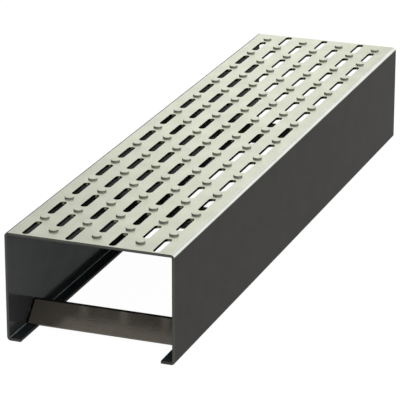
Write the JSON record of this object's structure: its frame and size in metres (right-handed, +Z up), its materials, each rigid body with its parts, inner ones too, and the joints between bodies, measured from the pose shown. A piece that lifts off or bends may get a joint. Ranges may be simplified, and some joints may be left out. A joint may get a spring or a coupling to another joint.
{
  "type": "slotted drain grate",
  "caption": "Upside-down folded sheet-steel channel with a slotted, pipped tread, deep side walls, inward feet and folded cross braces.",
  "frame": {"origin": "middle of the footprint, at the height of the surface that the feet stand on", "axes": "+X across the grate, +Y along it towards its rear end, +Z up through the tread"},
  "size_m": [0.12, 0.5, 0.0783],
  "materials": {
    "folded_steel": "satin stainless sheet, bright tread and darker walls",
    "brace_steel": "satin stainless sheet, darker"
  },
  "bodies": {
    "root": {"grate_channel": "folded_steel", "front_brace": "brace_steel", "middle_brace": "brace_steel", "rear_brace": "brace_steel"}
  },
  "joints": []
}
